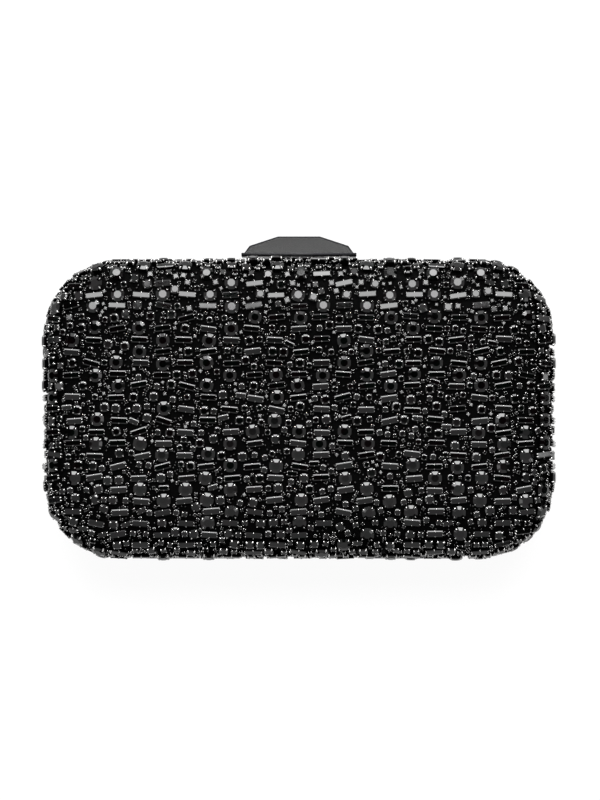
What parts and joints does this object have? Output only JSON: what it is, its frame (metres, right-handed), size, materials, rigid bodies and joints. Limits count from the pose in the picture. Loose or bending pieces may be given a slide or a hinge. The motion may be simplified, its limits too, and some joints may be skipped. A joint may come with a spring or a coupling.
{
  "type": "box clutch bag",
  "caption": "Rounded box clutch with a stone-covered front lid, satin rear half, metal frames and a rocking stone clasp at the top edge.",
  "frame": {"origin": "centre of the flat rear face that the closed clutch lies on", "axes": "+X along the width to the viewer's right, +Y up the front face towards the clasp, +Z out of the front face"},
  "size_m": [0.1902, 0.1201, 0.05],
  "materials": {
    "jet_stones": "jet black faceted stones in dark claw settings on black satin",
    "claw_metal": "polished dark claw settings with bright tips",
    "clasp_stone": "polished faceted black stone",
    "black_satin": "black satin",
    "lining_satin": "black lining satin",
    "gunmetal": "polished gunmetal plating",
    "bright_steel": "bright steel pins, screws and spring",
    "moulded_shell": "moulded black plastic",
    "card": "grey-brown lining card"
  },
  "bodies": {
    "rear_half": {"rear_shell": "moulded_shell", "rear_satin_cover": "black_satin", "rear_frame": "gunmetal", "rear_lining": "lining_satin", "rear_lining_board": "card", "slip_pocket": "lining_satin", "rear_frame_rivet_top_left": "gunmetal", "rear_frame_rivet_top_right": "gunmetal", "rear_frame_rivet_bottom_left": "gunmetal", "rear_frame_rivet_bottom_right": "gunmetal", "rear_hinge_leaf_left": "gunmetal", "rear_hinge_leaf_right": "gunmetal", "hinge_pin_left": "bright_steel", "hinge_pin_right": "bright_steel", "clasp_lug_left": "gunmetal", "clasp_lug_right": "gunmetal", "clasp_lug_screw_left": "bright_steel", "clasp_lug_screw_right": "bright_steel", "clasp_pin": "bright_steel", "clasp_spring": "bright_steel"},
    "lid": {"front_stone_cover": "jet_stones", "front_shell": "moulded_shell", "front_frame": "gunmetal", "front_lining": "lining_satin", "front_lining_board": "card", "front_frame_rivet_top_left": "gunmetal", "front_frame_rivet_top_right": "gunmetal", "front_frame_rivet_bottom_left": "gunmetal", "front_frame_rivet_bottom_right": "gunmetal", "front_hinge_leaf_left": "gunmetal", "front_hinge_leaf_right": "gunmetal", "strike_plate": "gunmetal", "strike_screw_left": "bright_steel", "strike_screw_right": "bright_steel"},
    "clasp": {"clasp_lever": "gunmetal", "clasp_bezel": "gunmetal", "clasp_stone": "clasp_stone", "clasp_rivet_left": "bright_steel", "clasp_rivet_right": "bright_steel"}
  },
  "joints": [
    {"name": "lid_hinge", "type": "hinge", "parent": "rear_half", "child": "lid", "pos_m": [0, -0.0543, 0.025], "axis": [1, 0, 0], "range_deg": [0, 100]},
    {"name": "clasp_rock", "type": "hinge", "parent": "rear_half", "child": "clasp", "pos_m": [0, 0.0552, 0.022], "axis": [-1, 0, 0], "range_deg": [0, 12], "stiffness_Nm_per_rad": 0.06, "springref_deg": -11.46}
  ]
}
